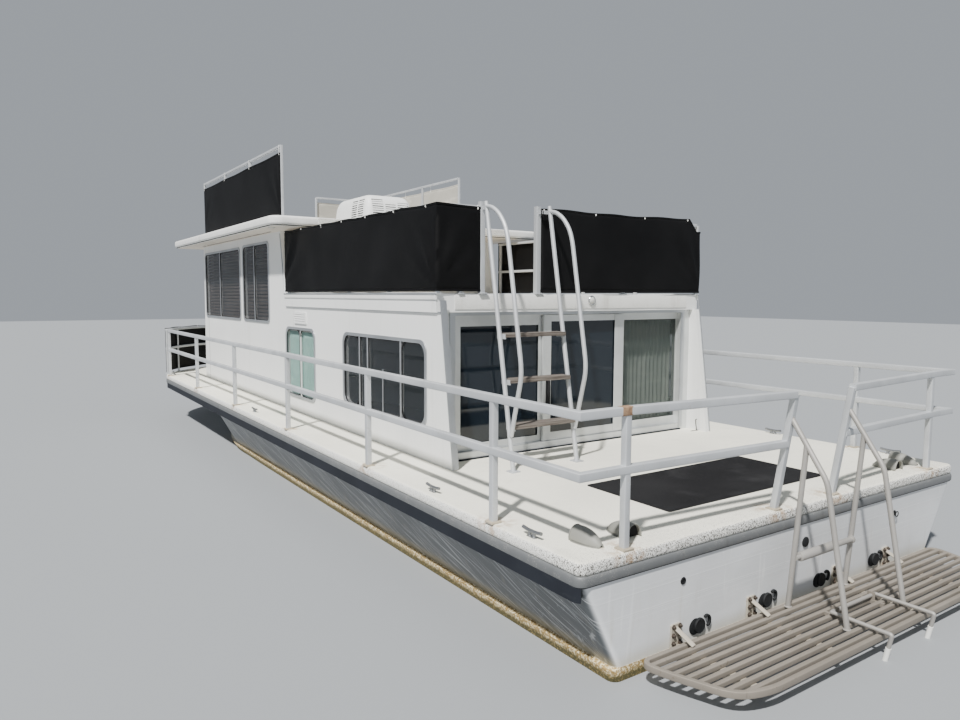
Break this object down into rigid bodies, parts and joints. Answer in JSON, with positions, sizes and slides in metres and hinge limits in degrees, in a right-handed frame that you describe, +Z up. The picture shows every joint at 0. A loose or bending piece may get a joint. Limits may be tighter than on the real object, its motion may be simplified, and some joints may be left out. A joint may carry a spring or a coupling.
{
  "type": "houseboat",
  "caption": "White cabin houseboat with a raised pilothouse, a railed roof deck behind black canvas, tubular deck rails and a slatted stern platform.",
  "frame": {"origin": "on the centreline amidships, at the waterline", "axes": "+Y to the bow, +X to starboard, +Z up"},
  "size_m": [4.296, 13.3851, 4.6725],
  "materials": {
    "gelcoat": "weathered white gelcoat",
    "topsides": "chalky white gelcoat with stains",
    "nonskid": "speckled cream non-skid",
    "lip": "dull grey rub moulding",
    "rubber": "black strip",
    "aluminium": "dull mill finish",
    "canvas": "black woven cloth",
    "beige": "beige side of the woven cloth",
    "glass": "tinted",
    "platform": "stained grey-tan",
    "bronze": "cast, dull",
    "iron": "painted",
    "vinyl": "sheet flooring",
    "mat": "black pile",
    "unit": "white shroud"
  },
  "bodies": {
    "boat": {"hull": "topsides", "gunwale": "lip", "deck": "nonskid", "cabin_sole": "vinyl", "main_roof": "gelcoat", "step_bulkhead": "gelcoat", "pilot_roof": "gelcoat", "cabin_front": "gelcoat", "stern_door_frame": "aluminium", "bow_rail": "aluminium", "canvas_bow": "canvas", "air_conditioner": "unit", "roof_ladder": "aluminium", "boarding_stair": "aluminium", "swim_platform": "platform", "deck_mat": "mat", "rub_band_port": "rubber", "engine_port": "iron", "cabin_side_port": "gelcoat", "glass_pilot_fwd_port": "glass", "glass_pilot_aft_port": "glass", "glass_galley_port": "glass", "glass_saloon_port": "glass", "glass_fore_port": "glass", "glass_fixed_port": "glass", "deck_rail_port": "aluminium", "roof_rail_port": "aluminium", "pilot_rail_port": "aluminium", "canvas_roof_port": "canvas", "strut_port": "bronze", "rub_band_starboard": "rubber", "engine_starboard": "iron", "cabin_side_starboard": "gelcoat", "glass_pilot_fwd_starboard": "glass", "glass_pilot_aft_starboard": "glass", "glass_galley_starboard": "glass", "glass_saloon_starboard": "glass", "glass_fore_starboard": "glass", "glass_fixed_starboard": "glass", "deck_rail_starboard": "aluminium", "roof_rail_starboard": "aluminium", "pilot_rail_starboard": "aluminium", "canvas_roof_starboard": "canvas", "strut_starboard": "bronze", "canvas_pilot_port": "canvas", "canvas_pilot_starboard": "beige"},
    "stern_door": {"door_leaf": "aluminium", "glass_leaf": "glass"},
    "fore_door_leaf": {"fore_door": "gelcoat"},
    "propeller_port_body": {"propeller_port": "bronze"},
    "propeller_starboard_body": {"propeller_starboard": "bronze"},
    "rudder_port_body": {"rudder_port": "bronze"},
    "rudder_starboard_body": {"rudder_starboard": "bronze"},
    "swim_ladder_body": {"swim_ladder": "aluminium"}
  },
  "joints": [
    {"name": "stern_door_slide", "type": "slide", "parent": "boat", "child": "stern_door", "axis": [1, 0, 0], "range_m": [0, 0.8]},
    {"name": "fore_door_hinge", "type": "hinge", "parent": "boat", "child": "fore_door_leaf", "pos_m": [0.3265, 4.001, 0.775], "axis": [0, 0.0364, -0.9993], "range_deg": [0, 105]},
    {"name": "propeller_port_spin", "type": "hinge", "parent": "boat", "child": "propeller_port_body", "pos_m": [-0.72, -5.68, -0.47], "axis": [0, 0.9874, 0.158], "continuous": true},
    {"name": "propeller_starboard_spin", "type": "hinge", "parent": "boat", "child": "propeller_starboard_body", "pos_m": [0.72, -5.68, -0.47], "axis": [0, 0.9874, 0.158], "continuous": true},
    {"name": "rudder_port_steer", "type": "hinge", "parent": "boat", "child": "rudder_port_body", "pos_m": [-0.72, -6, -0.4], "axis": [0, 0, 1], "range_deg": [-35, 35]},
    {"name": "rudder_starboard_steer", "type": "hinge", "parent": "boat", "child": "rudder_starboard_body", "pos_m": [0.72, -6, -0.4], "axis": [0, 0, 1], "range_deg": [-35, 35]},
    {"name": "swim_ladder_hinge", "type": "hinge", "parent": "boat", "child": "swim_ladder_body", "pos_m": [0, -6.63, 0.172], "axis": [-1, 0, 0], "range_deg": [0, 95]}
  ],
  "couplings": [
    {"joint": "rudder_starboard_steer", "follows": "rudder_port_steer", "ratio": 1}
  ]
}
